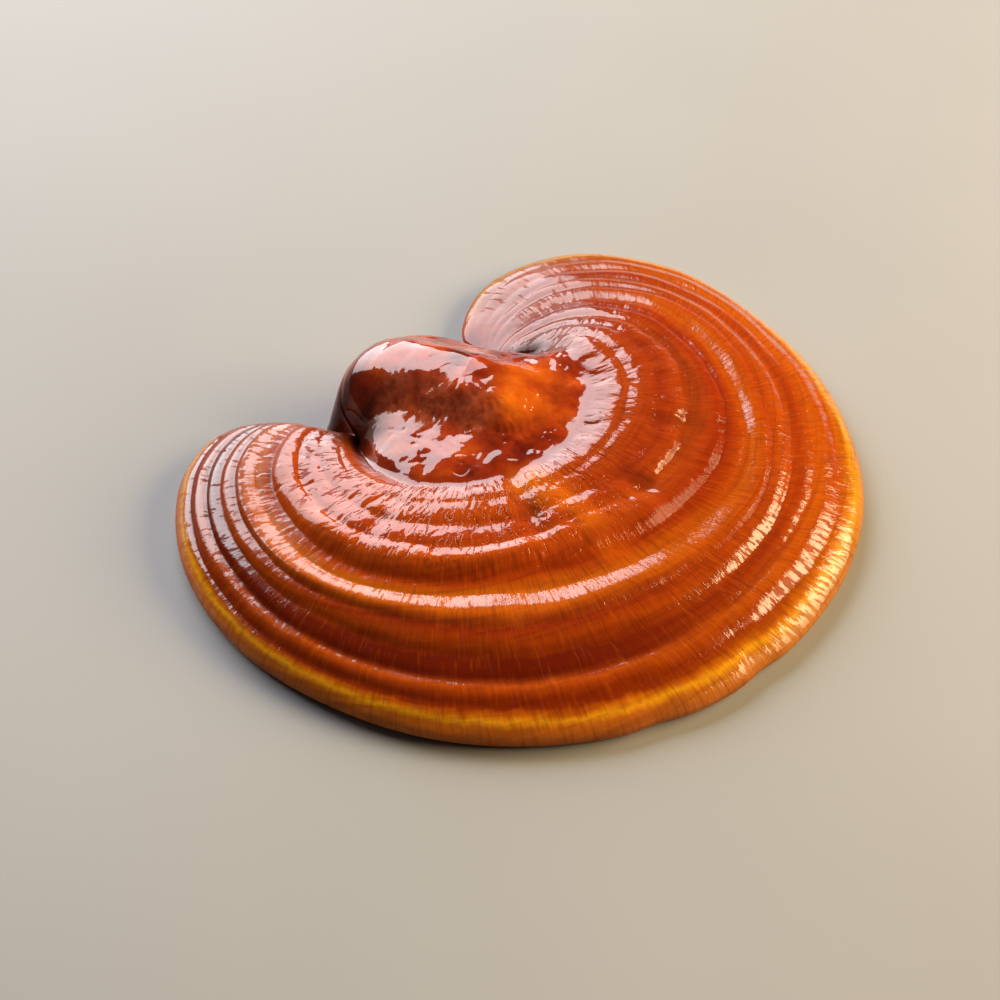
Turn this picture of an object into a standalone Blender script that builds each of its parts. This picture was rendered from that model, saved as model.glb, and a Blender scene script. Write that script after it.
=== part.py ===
"""Reishi mushroom: a glossy kidney-shaped cap with ringed growth zones and the stub of its stem.

The whole fruit body is one closed solid. It is a loft of closed loops, from the middle of the
stem's knob outwards over the cap, round the thin margin and back below to the flat cut of the stem.
The loops differ from one another, so the solid is built row by row.

Lengths in the tables are millimetres. +X runs across the two lobes, +Y points to the stem's notch,
+Z is up and the cut of the stem lies on z = 0.
"""
import bpy
import bmesh
import math
import numpy as np

MM = 0.001

# Columns of faces round the mushroom, in front of the notch and behind the stem
FRONT_COLUMNS = 78
BACK_COLUMNS = 14

# Outline of the margin, from the left corner of the notch round the front to the right corner
MARGIN = [(-19, 36), (-22, 47), (-32, 53.5), (-45, 49), (-56.5, 34), (-61.5, 14), (-59, -6), (-50.7, -24.7),
          (-35.7, -40.2), (-17, -49.7), (4, -52), (25.3, -47.2), (42.5, -35.7), (56, -16.5), (61.8, 4.5),
          (60.8, 26.2), (50, 43.6), (33.3, 49.3), (20, 43.8), (15, 34)]
# The bold ridge half way out
RIDGE = [(-18.5, 33.8), (-26, 41), (-36.5, 37.5), (-44, 27), (-46, 11), (-40, -5), (-28, -17.5),
         (-12, -25.5), (5, -28.5), (22, -25), (36, -13), (43.5, 3), (43, 18), (35, 29.5), (23, 33.5),
         (15, 31.5)]
# The crease where the cap meets the mound in the middle
CREASE = [(-18, 31), (-20.8, 26.5), (-23.2, 20), (-22.8, 13), (-19.5, 7.5), (-14, 2.5), (-6, -0.8),
          (3, -0.9), (10, 2.2), (16, 6.5), (19, 13), (18.3, 21), (15, 28)]
# Behind the notch the stem's own wall takes the place of the cap: its foot, its middle and its brow
WALL_FOOT = [(15, 34), (12.5, 38.5), (5, 43), (-4, 44.8), (-12.5, 43.9), (-18, 40.2), (-19, 36)]
WALL_MIDDLE = [(15, 31.5), (11.8, 37), (4.6, 41.6), (-4, 43.5), (-12.1, 42.6), (-17.2, 38.8),
               (-18.5, 33.8)]
WALL_BROW = [(15, 28), (10.3, 34.3), (3.6, 38.8), (-4, 40.8), (-11.4, 40.2), (-16.2, 36.6),
             (-18, 31)]

# Where the shoulder and the bold ridge lie between the crease (0) and the margin (1)
SHOULDER_PLACE = 0.14
RIDGE_PLACE = 0.56

# Heights of the cap along the front sector: place, then crease, shoulder, ridge and rim
CAP_HEIGHTS = [(0, 6.0, 9.0, 7.5, 5.0), (0.03, 7.4, 11.6, 9.8, 6.0), (0.06, 8.8, 13.0, 11.0, 6.2),
               (0.14, 12.0, 14.4, 11.3, 5.8), (0.22, 14.3, 15.2, 11.2, 5.2), (0.3, 15.3, 15.9, 11.2, 5.0),
               (0.45, 16.0, 16.7, 11.0, 4.9), (0.6, 16.3, 17.0, 11.2, 4.9), (0.75, 16.2, 16.6, 11.3, 5.1),
               (0.86, 15.6, 15.8, 11.0, 5.5), (0.935, 10.0, 12.0, 9.3, 5.4), (1, 5.5, 7.0, 5.8, 4.2)]
# Heights of the stem's wall along the back sector: place, then brow, upper wall, middle and foot
WALL_HEIGHTS = [(0, 5.5, 7.0, 5.8, 4.2), (0.14, 10.5, 10.0, 7.4, 3.2), (0.32, 14.2, 13.0, 9.0, 3.0),
                (0.5, 16.0, 14.7, 9.8, 3.0), (0.68, 16.2, 14.9, 9.8, 3.0), (0.86, 12.5, 11.6, 8.0, 3.2),
                (1, 6.0, 9.0, 7.5, 5.0)]

# The rounded margin: height of its outermost line, sharpness of its upper and width of its lower edge
EDGE_HEIGHT = 2.3
EDGE_SHARPNESS = 14.0
LOWER_EDGE = 1.8
FULL_WIDTH = 45.0
# The margin rises and falls a little: half height and number of its waves along the front sector
EDGE_WAVE = 0.2
EDGE_WAVES = 3.6
# Two shallow nicks in the outline of the margin: place, half width round and depth
NICKS = [(0.434, 0.012, 0.6), (0.492, 0.010, 0.6)]

# Growth zones from the crease outwards: where each ends, how far it swells and the groove at its end
ZONES = [(0.12, 0.15, 0.10), (0.225, 0.20, 0.12), (0.325, 0.22, 0.15), (0.455, 0.90, 0.25),
         (0.525, 0.15, 0.25), (0.645, 0.95, 0.30), (0.725, 0.30, 0.28), (0.81, 0.12, 0.45),
         (0.90, 0.34, 0.28), (1.0, 0.30, 0.0)]
ZONE_LEAN = 1.5
GROOVE_WIDTH = 0.9
# Broad steps of the cap: ring number, half length outwards, height, place round, half width round
SWELLS = [(0.36, 0.09, 0.8, 0.31, 0.27), (0.48, 0.05, -0.85, 0.31, 0.25), (0.61, 0.07, 0.95, 0.32, 0.28),
          (0.42, 0.05, -0.4, 0.68, 0.12), (0.78, 0.08, -0.3, 0.42, 0.3), (0.82, 0.09, 0.8, 0.62, 0.18)]
# Radial folds of the cap: place, half width across, where along they lie, half length, depth
FOLDS = [(0.425, 0.016, 0.2, 0.2, 0.9), (0.554, 0.016, 0.31, 0.07, 0.9), (0.245, 0.012, 0.3, 0.15, 0.4),
         (0.66, 0.014, 0.25, 0.16, 0.45), (0.80, 0.014, 0.3, 0.2, 0.4)]

# The mound: a bench that leans a little to the left, with a dip by the right corner of the notch
POLE = (-3.0, 20.0)
BENCH_HEIGHT = 16.8
BENCH_LEAN = 0.09
DIP = (12.0, 31.0, 4.0, 5.0, 2.0)
# The knob on it is a long crest with steep sides: its line, half width, heights at its ends, its fall
KNOB_LINE = [(-6.5, 34.0), (2.0, 13.0)]
KNOB_WIDTH = 7.2
KNOB_RISE = (5.2, 3.7)
KNOB_FALL = 7.0
# How far the mound stays level and how round its edge is, along the front and the back sector
MOUND_EDGE = [(0, 6.0, 1.7), (0.14, 6.0, 1.7), (0.26, 5.0, 1.5), (0.38, 3.2, 1.1), (0.5, 2.3, 1.0),
              (0.62, 2.0, 1.0), (0.8, 2.0, 1.0), (0.92, 3.6, 1.2), (1, 6.0, 1.6)]
BROW_EDGE = [(0, 6.0, 1.6), (0.25, 4.0, 1.4), (0.5, 4.0, 1.4), (0.75, 4.0, 1.4), (1, 6.0, 1.7)]
MOUND_ROWS = 9

# The underside: where the cut of the stem begins along the front sector, and the hollow of the pores
CUT_PLACE = [(0, 0.6), (0.05, 0.25), (0.12, 0.0), (0.3, -0.4), (0.5, -0.62), (0.7, -0.45), (0.88, 0.0),
             (0.95, 0.25), (1, 0.6)]
UNDER_HOLLOW = 2.0
UNDER_ROWS = 5


def along(points, place):
    """Points of a smooth curve through the given points, at places from 0 to 1 of its length."""
    given = np.array(points, float)
    ends = np.vstack([2 * given[0] - given[1], given, 2 * given[-1] - given[-2]])
    s = np.linspace(0, 1, 24, endpoint=False)[:, None]
    pieces = []
    for i in range(1, len(ends) - 2):
        a, b, c, d = ends[i - 1:i + 3]
        pieces.append(b + 0.5 * s * ((c - a) + s * ((2 * a - 5 * b + 4 * c - d) + s * (3 * b - a - 3 * c + d))))
    line = np.vstack(pieces + [given[-1:]])
    length = np.concatenate([[0], np.cumsum(np.linalg.norm(np.diff(line, axis=0), axis=1))])
    length /= length[-1]
    return np.stack([np.interp(place, length, line[:, 0]), np.interp(place, length, line[:, 1])], -1)


def blend(table, place):
    """Smooth runs of the values in a table whose rows are (place, value, ...)."""
    rows = np.array(table, float)
    places, values = rows[:, 0], rows[:, 1:]
    slopes = np.gradient(values, places, axis=0)
    k = np.clip(np.searchsorted(places, place) - 1, 0, len(places) - 2)
    width = (places[k + 1] - places[k])[:, None]
    s = np.clip((place - places[k])[:, None] / width, 0, 1)
    rise = values[k + 1] - values[k]
    start = slopes[k] * width - rise
    end = rise - slopes[k + 1] * width
    return (values[k] + s * rise + s * (1 - s) * ((1 - s) * start + s * end)).T


def run(t, places, values, slopes):
    """Height at t on a smooth run through values that have given slopes, column by column."""
    out = np.zeros(np.broadcast(t, values[0]).shape)
    for k in range(len(places) - 1):
        width = places[k + 1] - places[k]
        s = np.clip((t - places[k]) / width, 0, 1)
        rise = values[k + 1] - values[k]
        start = slopes[k] * width - rise
        end = rise - slopes[k + 1] * width
        piece = values[k] + s * rise + s * (1 - s) * ((1 - s) * start + s * end)
        out = np.where(t >= places[k], piece, out)
    return out


class Body:
    """The curves and heights of the mushroom at every column."""

    def __init__(self, front_columns, back_columns):
        front = np.linspace(0, 1, front_columns)
        back = np.linspace(0, 1, back_columns + 2)[1:-1]
        self.inner = np.vstack([along(CREASE, front), along(WALL_BROW, back)])
        self.middle = np.vstack([along(RIDGE, front), along(WALL_MIDDLE, back)])
        self.outer = np.vstack([along(MARGIN, front), along(WALL_FOOT, back)])
        for place, wide, depth in NICKS:
            inward = self.middle[:front_columns] - self.outer[:front_columns]
            share = depth * np.exp(-((front - place) / wide) ** 2) / np.linalg.norm(inward, axis=1)
            self.outer[:front_columns] += inward * share[:, None]
        self.heights = np.hstack([blend(CAP_HEIGHTS, front), blend(WALL_HEIGHTS, back)])
        self.place = np.concatenate([front, np.zeros(back_columns)])
        self.width = np.linalg.norm(self.outer - self.inner, axis=1)
        self.full = np.clip(self.width / FULL_WIDTH, 0, 1)
        self.fade = np.sin(math.pi * self.place)
        self.lift = EDGE_WAVE * (1 + np.sin(2 * math.pi * (EDGE_WAVES * self.place + 0.15))) * self.fade ** 0.5
        self.mound_edge = np.hstack([blend(MOUND_EDGE, front), blend(BROW_EDGE, back)])
        self.cut_place = np.concatenate([blend(CUT_PLACE, front)[0], np.full(back_columns, 0.6)])

    def plan(self, t):
        """Places seen from above: 1 is the margin, 0 the crease and -1 the pole of the mound."""
        t = np.asarray(t)[..., None]
        m = RIDGE_PLACE
        cap = np.clip(t, 0, 1)
        on_cap = (self.inner * (cap - m) * (cap - 1) / m + self.middle * cap * (cap - 1) / (m * (m - 1))
                  + self.outer * cap * (cap - m) / (1 - m))
        return on_cap + (np.array(POLE) - self.inner) * np.clip(-t, 0, 1)

    def wander(self, s):
        """The growth rings don't run quite parallel: place on the cap of the ring numbered s."""
        drift = 0.012 * np.sin(2 * math.pi * (2.3 * self.place + 1.7 * s))
        drift = drift + 0.006 * np.sin(2 * math.pi * (5.1 * self.place + 3.0 * s + 0.37))
        return s + drift * self.fade * 4 * s * (1 - s)

    def relief(self, s):
        """Swollen growth zones with a narrow groove between each two."""
        high = np.zeros(np.broadcast(s, self.width).shape)
        start = 0.0
        for end, swell, groove in ZONES:
            x = np.clip((s - start) / (end - start), 0, 1) ** ZONE_LEAN
            high = high + swell * (1 - np.abs(2 * x - 1) ** 2.2)
            high = high - groove * np.exp(-((s - end) * self.width / GROOVE_WIDTH) ** 2)
            start = end
        for at, long, rise, place, wide in SWELLS:
            high = high + rise * np.exp(-((s - at) / long) ** 2 - ((self.place - place) / wide) ** 4)
        for place, wide, at, long, depth in FOLDS:
            high = high - depth * np.exp(-((self.place - place) / wide) ** 2 - ((s - at) / long) ** 2)
        return high * self.full ** 1.5 * np.minimum(1, self.fade * 8)

    def cap_height(self, s, t):
        """Height of the cap's upper side."""
        crease, shoulder, ridge, rim = self.heights
        first = (ridge - shoulder) / (RIDGE_PLACE - SHOULDER_PLACE)
        second = (rim - ridge) / (1 - RIDGE_PLACE)
        slopes = [2.2 * (shoulder - crease) / SHOULDER_PLACE, 0.4 * first, (first + second) / 2, 1.1 * second]
        dome = run(t, [0, SHOULDER_PLACE, RIDGE_PLACE, 1], [crease, shoulder, ridge, rim], slopes)
        sharpness = np.maximum(2.4, EDGE_SHARPNESS * self.full)
        rounding = np.sqrt(np.clip(1 - np.clip(t, 0, 1) ** sharpness, 0, 1))
        edge = EDGE_HEIGHT + self.lift
        return edge + (dome + self.relief(s) - edge) * rounding

    def mound_height(self, q, x, y):
        """Height of the mound at the share q of the way from its pole to the crease."""
        high = BENCH_HEIGHT + BENCH_LEAN * np.clip((x - POLE[0] - y + POLE[1]) / 2, -10, 6)
        at_x, at_y, wide_x, wide_y, depth = DIP
        high = high - depth * np.exp(-(((x - at_x) / wide_x) ** 2 + ((y - at_y) / wide_y) ** 2) / 2)
        start, end = np.array(KNOB_LINE)
        length = np.linalg.norm(end - start)
        axis = (end - start) / length
        down = (x - start[0]) * axis[0] + (y - start[1]) * axis[1]
        aside = (y - start[1]) * axis[0] - (x - start[0]) * axis[1]
        rise = KNOB_RISE[0] + (KNOB_RISE[1] - KNOB_RISE[0]) * np.clip(down / length, 0, 1)
        past = np.maximum(0, down - length) / KNOB_FALL
        high = high + rise * np.exp(-0.7 * (aside / KNOB_WIDTH) ** 4 - past ** 2)
        crease = self.heights[0]
        power, fullness = self.mound_edge
        return crease + (high - crease) * (1 - q ** power) ** (1 / fullness)

    def under_height(self, d, x):
        """Height of the underside at d from the margin, at the share x of the way to the cut."""
        edge = np.clip(1 - d / LOWER_EDGE, 0, 1)
        lip = EDGE_HEIGHT * (1 - np.sqrt(1 - edge ** 2))
        hollow = UNDER_HOLLOW * np.clip((self.width - 6) / 20, 0, 1) * np.sin(math.pi * x ** 0.7) ** 1.2
        return lip + hollow + self.lift * (1 - x)


def body_rows():
    """Rows of points from the crown of the mound to the edge of the stem's cut."""
    body = Body(FRONT_COLUMNS, BACK_COLUMNS)
    rows = []

    for i in range(1, MOUND_ROWS + 1):
        q = 1 - (1 - i / MOUND_ROWS) ** 1.7
        place = body.plan(np.full(len(body.width), q - 1))
        rows.append(np.column_stack([place, body.mound_height(q, place[:, 0], place[:, 1])]))

    rings = []
    start = 0.0
    for end, _, _ in ZONES[:-1]:
        rings += [start + 0.35 * (end - start), start + 0.72 * (end - start), end]
        start = end
    rings += [0.93, 0.955, 0.976, 0.992, 1.0]
    for s in rings:
        t = body.wander(s)
        rows.append(np.column_stack([body.plan(t), body.cap_height(s, t)]))

    reach = np.linalg.norm(body.outer - body.middle, axis=1) / (1 - RIDGE_PLACE)
    lip = np.minimum(LOWER_EDGE, 0.2 * reach)
    for part in (0.15, 0.5, 1.0):
        t = 1 - part * lip / reach
        rows.append(np.column_stack([body.plan(t), body.under_height(np.full(len(t), part * LOWER_EDGE), 0.0)]))
    start = 1 - lip / reach
    for i in range(1, UNDER_ROWS + 1):
        x = i / UNDER_ROWS
        t = start + (body.cut_place - start) * x
        rows.append(np.column_stack([body.plan(t), body.under_height(np.full(len(t), LOWER_EDGE), x)]))
    return body, rows


def mesh_from_rows(name, crown, rows):
    """One closed mesh: a fan at the crown, bands of faces between the rows, one flat face at the end."""
    mesh = bmesh.new()
    top = mesh.verts.new([c * MM for c in crown])
    loops = [[mesh.verts.new([float(c) * MM for c in point]) for point in row] for row in rows]
    count = len(loops[0])
    for j in range(count):
        mesh.faces.new((top, loops[0][j], loops[0][(j + 1) % count]))
    for upper, lower in zip(loops[:-1], loops[1:]):
        for j in range(count):
            k = (j + 1) % count
            mesh.faces.new((upper[j], lower[j], lower[k], upper[k]))
    for face in mesh.faces:
        face.smooth = True
    mesh.faces.new(loops[-1][::-1])
    bmesh.ops.recalc_face_normals(mesh, faces=mesh.faces)
    bmesh.ops.triangulate(mesh, faces=mesh.faces)
    data = bpy.data.meshes.new(name)
    mesh.to_mesh(data)
    mesh.free()
    return bpy.data.objects.new(name, data)


def lacquer():
    """The warm red-brown lacquer of the cap."""
    material = bpy.data.materials.new("reishi lacquer")
    material.use_nodes = True
    shader = material.node_tree.nodes["Principled BSDF"]
    shader.inputs["Base Color"].default_value = (0.36, 0.085, 0.014, 1)
    shader.inputs["Roughness"].default_value = 0.28
    shader.inputs["Metallic"].default_value = 0.0
    return material


def main():
    for old in list(bpy.data.objects):
        bpy.data.objects.remove(old)
    group = bpy.data.collections.new("Reishi mushroom")
    bpy.context.scene.collection.children.link(group)
    body, rows = body_rows()
    pole = np.array([POLE])
    crown = np.column_stack([pole, body.mound_height(0.0, pole[:, 0], pole[:, 1])[:1]])
    points = np.vstack(rows)[:, :2]
    centre = (points.min(axis=0) + points.max(axis=0)) / 2
    for row in [crown] + rows:
        row[:, :2] -= centre
    mushroom = mesh_from_rows("mushroom", crown[0], rows)
    mushroom.data.materials.append(lacquer())
    group.objects.link(mushroom)


main()
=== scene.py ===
"""Reishi mushroom: the lacquered, ringed cap with the stub of its stem, dressed for the render.

The fruit body is one closed surface, a loft of closed loops like the solid that it stands for, with
finer rows and columns, wrinkles, folds and small growth lines. Lengths in the tables are millimetres.
"""
import bpy
import math
import numpy as np
from mathutils import Matrix, Vector


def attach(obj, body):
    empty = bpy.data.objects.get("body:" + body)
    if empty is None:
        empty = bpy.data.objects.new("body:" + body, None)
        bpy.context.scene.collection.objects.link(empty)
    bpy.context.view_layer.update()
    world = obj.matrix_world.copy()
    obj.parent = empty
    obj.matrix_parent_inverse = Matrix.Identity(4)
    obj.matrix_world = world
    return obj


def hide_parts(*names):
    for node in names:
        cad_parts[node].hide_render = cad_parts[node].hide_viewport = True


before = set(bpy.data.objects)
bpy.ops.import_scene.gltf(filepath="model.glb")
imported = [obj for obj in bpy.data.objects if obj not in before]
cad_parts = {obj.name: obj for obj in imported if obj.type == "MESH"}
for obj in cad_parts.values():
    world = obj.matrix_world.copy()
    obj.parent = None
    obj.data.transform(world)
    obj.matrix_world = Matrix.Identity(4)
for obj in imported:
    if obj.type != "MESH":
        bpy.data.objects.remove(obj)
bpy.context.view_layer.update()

MM = 0.001

# Columns of faces round the mushroom, in front of the notch and behind the stem
FRONT_COLUMNS = 518
BACK_COLUMNS = 42

# Outline of the margin, from the left corner of the notch round the front to the right corner
MARGIN = [(-19, 36), (-22, 47), (-32, 53.5), (-45, 49), (-56.5, 34), (-61.5, 14), (-59, -6), (-50.7, -24.7),
          (-35.7, -40.2), (-17, -49.7), (4, -52), (25.3, -47.2), (42.5, -35.7), (56, -16.5), (61.8, 4.5),
          (60.8, 26.2), (50, 43.6), (33.3, 49.3), (20, 43.8), (15, 34)]
# The bold ridge half way out
RIDGE = [(-18.5, 33.8), (-26, 41), (-36.5, 37.5), (-44, 27), (-46, 11), (-40, -5), (-28, -17.5),
         (-12, -25.5), (5, -28.5), (22, -25), (36, -13), (43.5, 3), (43, 18), (35, 29.5), (23, 33.5),
         (15, 31.5)]
# The crease where the cap meets the mound in the middle
CREASE = [(-18, 31), (-20.8, 26.5), (-23.2, 20), (-22.8, 13), (-19.5, 7.5), (-14, 2.5), (-6, -0.8),
          (3, -0.9), (10, 2.2), (16, 6.5), (19, 13), (18.3, 21), (15, 28)]
# Behind the notch the stem's own wall takes the place of the cap: its foot, its middle and its brow
WALL_FOOT = [(15, 34), (12.5, 38.5), (5, 43), (-4, 44.8), (-12.5, 43.9), (-18, 40.2), (-19, 36)]
WALL_MIDDLE = [(15, 31.5), (11.8, 37), (4.6, 41.6), (-4, 43.5), (-12.1, 42.6), (-17.2, 38.8),
               (-18.5, 33.8)]
WALL_BROW = [(15, 28), (10.3, 34.3), (3.6, 38.8), (-4, 40.8), (-11.4, 40.2), (-16.2, 36.6),
             (-18, 31)]

# Where the shoulder and the bold ridge lie between the crease (0) and the margin (1)
SHOULDER_PLACE = 0.14
RIDGE_PLACE = 0.56

# Heights of the cap along the front sector: place, then crease, shoulder, ridge and rim
CAP_HEIGHTS = [(0, 6.0, 9.0, 7.5, 5.0), (0.03, 7.4, 11.6, 9.8, 6.0), (0.06, 8.8, 13.0, 11.0, 6.2),
               (0.14, 12.0, 14.4, 11.3, 5.8), (0.22, 14.3, 15.2, 11.2, 5.2), (0.3, 15.3, 15.9, 11.2, 5.0),
               (0.45, 16.0, 16.7, 11.0, 4.9), (0.6, 16.3, 17.0, 11.2, 4.9), (0.75, 16.2, 16.6, 11.3, 5.1),
               (0.86, 15.6, 15.8, 11.0, 5.5), (0.935, 10.0, 12.0, 9.3, 5.4), (1, 5.5, 7.0, 5.8, 4.2)]
# Heights of the stem's wall along the back sector: place, then brow, upper wall, middle and foot
WALL_HEIGHTS = [(0, 5.5, 7.0, 5.8, 4.2), (0.14, 10.5, 10.0, 7.4, 3.2), (0.32, 14.2, 13.0, 9.0, 3.0),
                (0.5, 16.0, 14.7, 9.8, 3.0), (0.68, 16.2, 14.9, 9.8, 3.0), (0.86, 12.5, 11.6, 8.0, 3.2),
                (1, 6.0, 9.0, 7.5, 5.0)]

# Slopes of the cap at the crease, the shoulder and the rim, as shares of its mean slopes beside them
CREASE_SLOPE = 2.2
SHOULDER_SLOPE = 0.4
RIM_SLOPE = 1.1

# The rounded margin: height of its outermost line, sharpness of its upper and width of its lower edge
EDGE_HEIGHT = 2.3
EDGE_SHARPNESS = 14.0
LEAST_SHARPNESS = 2.4
LOWER_EDGE = 1.8
FULL_WIDTH = 45.0
# The margin rises and falls a little: half height, number of its waves along the front sector, phase
EDGE_WAVE = 0.2
EDGE_WAVES = 3.6
EDGE_PHASE = 0.15
# Two shallow nicks in the outline of the margin: place, half width round and depth
NICKS = [(0.434, 0.012, 0.6), (0.492, 0.010, 0.6)]

# Growth zones from the crease outwards: where each ends, how far it swells and the groove at its end
ZONES = [(0.12, 0.15, 0.10), (0.225, 0.20, 0.12), (0.325, 0.22, 0.15), (0.455, 0.55, 0.25),
         (0.525, 0.15, 0.12), (0.645, 0.35, 0.30), (0.725, 0.30, 0.28), (0.81, 0.12, 0.42),
         (0.90, 0.28, 0.28), (1.0, 0.30, 0.0)]
ZONE_LEAN = 1.5
ZONE_FULLNESS = 2.2
# The relief is lower by this power where the cap is narrow, and rises this fast from the notch's corners
NARROW_POWER = 1.5
ZONE_RISE = 8
WRINKLE_RISE = 6
# Width of a groove, and its depth as a share of the table's, where it is crisp and where it is soft
CRISP_GROOVE = (0.6, 1.2)
SOFT_GROOVE = (1.14, 0.45)
# The grooves are crisp on the left lobe and turn soft between these places on the front sector
TURN_SOFT = (0.15, 0.36)
# The rings don't run quite parallel: reach in ring numbers, waves round, waves outwards, phase
RING_DRIFTS = [(0.012, 2.3, 1.7, 0.0), (0.006, 5.1, 3.0, 0.37)]
# Noise of the zones along the front sector: reach in ring numbers or share, number of waves, seed
ZONE_WAVE = (0.006, 22, 1)
ZONE_RIPPLE = (0.003, 60, 2)
ZONE_FRAY = (0.005, 150, 5)
SWELL_CHANGE = (0.45, 14, 3)
GROOVE_CHANGE = (0.6, 30, 4)
# Broad steps of the cap: ring number, half length outwards, height, place round, half width round
SWELLS = [(0.36, 0.09, 0.8, 0.31, 0.27), (0.48, 0.06, -0.35, 0.31, 0.25), (0.625, 0.07, 0.9, 0.32, 0.28),
          (0.39, 0.05, 0.35, 0.28, 0.26), (0.37, 0.07, -0.6, 0.70, 0.14), (0.65, 0.06, 0.6, 0.68, 0.16),
          (0.78, 0.08, -0.3, 0.42, 0.3), (0.82, 0.09, 0.8, 0.62, 0.18)]
# Radial folds of the cap: place, half width across, where along they lie, half length, depth
FOLDS = [(0.425, 0.016, 0.2, 0.2, 0.9), (0.554, 0.016, 0.31, 0.07, 0.9), (0.245, 0.012, 0.3, 0.15, 0.4),
         (0.66, 0.014, 0.25, 0.16, 0.45), (0.80, 0.014, 0.3, 0.2, 0.4)]

# The mound: a bench that leans a little to the left, with a dip by the right corner of the notch
POLE = (-3.0, 20.0)
BENCH_HEIGHT = 16.8
BENCH_LEAN = 0.09
BENCH_REACH = (-10, 6)
DIP = (12.0, 31.0, 4.0, 5.0, 2.0)
# The knob on it is a long crest with steep sides: its line, half width, heights at its ends, its fall
KNOB_LINE = [(-6.5, 34.0), (2.0, 13.0)]
KNOB_WIDTH = 7.2
KNOB_STEEPNESS = 0.7
KNOB_RISE = (5.2, 3.7)
KNOB_FALL = 7.0
# How far the mound stays level and how round its edge is, along the front and the back sector
MOUND_EDGE = [(0, 6.0, 1.7), (0.14, 6.0, 1.7), (0.26, 5.0, 1.5), (0.38, 3.2, 1.1), (0.5, 2.3, 1.0),
              (0.62, 2.0, 1.0), (0.8, 2.0, 1.0), (0.92, 3.6, 1.2), (1, 6.0, 1.6)]
BROW_EDGE = [(0, 6.0, 1.6), (0.25, 4.0, 1.4), (0.5, 4.0, 1.4), (0.75, 4.0, 1.4), (1, 6.0, 1.7)]

# The underside: where the cut of the stem begins along the front sector, and the hollow of the pores
CUT_PLACE = [(0, 0.6), (0.05, 0.25), (0.12, 0.0), (0.3, -0.4), (0.5, -0.62), (0.7, -0.45), (0.88, 0.0),
             (0.95, 0.25), (1, 0.6)]
UNDER_HOLLOW = 2.0
# The hollow is left out below this width of the cap and full this much above it; how round it is
HOLLOW_FROM, HOLLOW_RUN = 6, 20
HOLLOW_ROUNDNESS = (0.7, 1.2)

# Rows of faces: over the mound, over the cap, close to the margin, round its lower edge and below
MOUND_ROWS = 60
CAP_ROWS = 118
MARGIN_ROWS = 22
LIP_ROWS = 6
UNDER_ROWS = 14
MARGIN_BAND = 0.9
# How strongly the rows crowd together at the outer end of the mound and of the margin (1 is evenly)
MOUND_SPACING = 1.15
MARGIN_SPACING = 1.8
# Ring numbers go on below the cap: at the end of the lip, where the pores begin, at the edge of the cut
LIP_RING = 1.04
PORE_RING = 1.015
CUT_RING = 2.0
# The lip takes at most this share of a narrow cap
LIP_SHARE = 0.2
# How wide, in ring numbers, and how often the rows by the crease are evened out to round it
FILLET = 0.05
FILLET_PASSES = 16
# Nearer the pole than these ring numbers, only every second, fourth and eighth column is kept
THINNED = [(-0.02, 2), (-0.45, 4), (-0.72, 8)]
# And on the underside every second
UNDER_STEP = 2

# The patterns of the surface run in millimetres: across the growth on this length, and along it
ACROSS = 200.0

# Fine relief. Each row is a noise: height or depth, its reach in two directions, seed
CAP_SWELLS = [(0.22, 9, 8, 12), (0.06, 4, 10, 13)]
FIBRES = [(0.012, 1.3, 12, 16)]
BEND = [(1.4, 7, 6, 11)]
NETS = [(0.14, 2.6, 6.0, 14), (0.09, 1.9, 4.0, 15)]
LUMPS = [(0.20, 4.2, 4.2, 17), (0.05, 1.9, 1.9, 18)]
PIT_BEND = [(0.8, 3, 3, 19)]
PITS = (0.14, 2.4, 2.4, 20)
# A net is thin and broken: width of its lines, reach and levels of the noise that breaks it
NET_WIDTH = 0.2
NET_BREAKS = (5, 4)
NET_LEVELS = (-0.1, 0.5)
NET_BREAK_SEED = 10
NET_TILT = 0.3
# So are the pits of the mound
PIT_WIDTH = 0.16
PIT_BREAKS = (3.5, 3.5, 21)
PIT_LEVELS = (-0.1, 0.4)
# Dents on the step beside the knob: depth, reach along and across the diagonal, seed
STEP_DENTS = (0.3, 3.4, 1.9, 24)
# Ring numbers between which each kind of relief begins and ends
CAP_FROM = (-0.02, 0.04)
NEAR_UNTIL = (0.42, 0.62)
FAR_FROM, FAR_UNTIL = (0.35, 0.6), (0.93, 1.0)
MOUND_UNTIL = (-0.12, 0.0)
POLE_CALM = (-1.0, -0.9)
RIM_CALM = (0.97, 1.0)
# Distances from the knob's line between which the step beside it begins and ends
STEP_FROM, STEP_UNTIL = (3.0, 5.5), (9.0, 11.5)

# Slopes that would mirror the floor are dulled: how far the normal leans outwards, then the ring numbers
# and the places round, each as the ranges in which the slopes begin and end
STEEP_LEFT = [(0.50, 0.66), (0.40, 0.46), (0.92, 0.95), (0.36, 0.46)]
STEEP_RIGHT = [(0.36, 0.48), (0.20, 0.28), (0.64, 0.69), (0.46, 0.54)]
# The stem's own lacquer: distances of the notch's corners and ring numbers in which it fades out
CORNER_FADE = (0.012, 0.06)
STEM_FADE = (-0.1, 0.02)

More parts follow.
